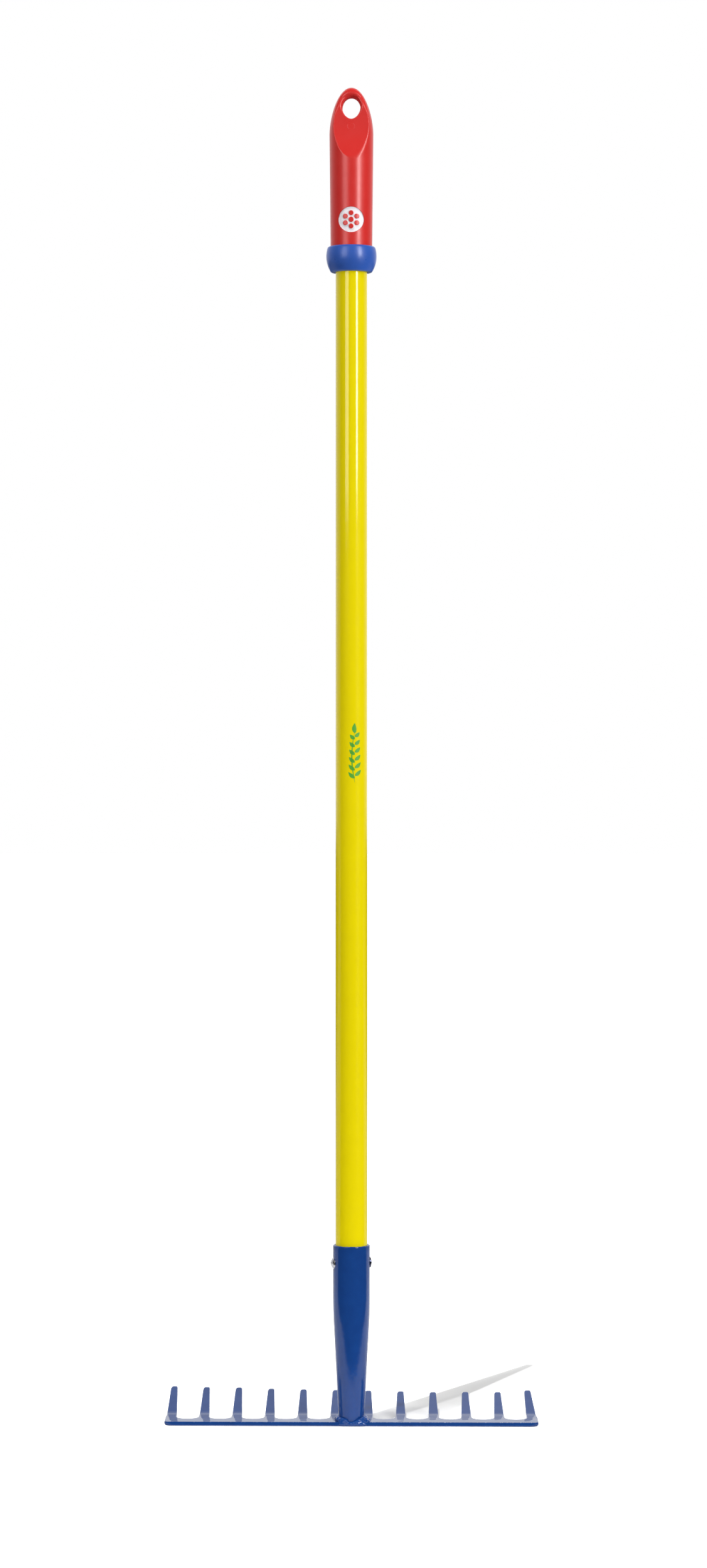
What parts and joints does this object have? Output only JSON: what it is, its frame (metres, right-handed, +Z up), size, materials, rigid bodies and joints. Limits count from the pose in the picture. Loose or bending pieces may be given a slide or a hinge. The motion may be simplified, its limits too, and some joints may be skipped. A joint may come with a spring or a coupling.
{
  "type": "sand rake",
  "caption": "Child's sand rake: bent sheet-steel head with tapered tines, welded socket riveted to a straight painted tube, moulded collar and grip with a hanging hole.",
  "frame": {"origin": "on the shaft's axis, in the flat underside of the head's bar", "axes": "+Z up along the shaft to the grip, X along the bar, +Y the way the tines point, -Y the front"},
  "size_m": [0.2604, 0.0754, 0.9308],
  "materials": {
    "head_paint": "gloss",
    "socket_paint": "gloss",
    "tube_paint": "gloss",
    "rivet_zinc": "satin",
    "collar_plastic": "satin",
    "grip_plastic": "satin",
    "inlay_plastic": "satin"
  },
  "bodies": {
    "root": {"rake_head": "head_paint", "weld_bead": "socket_paint", "socket": "socket_paint", "rivet": "rivet_zinc", "rivet_burr": "rivet_zinc", "shaft": "tube_paint", "collar": "collar_plastic", "grip": "grip_plastic", "badge_disc": "inlay_plastic", "badge_motif": "grip_plastic"}
  },
  "joints": []
}
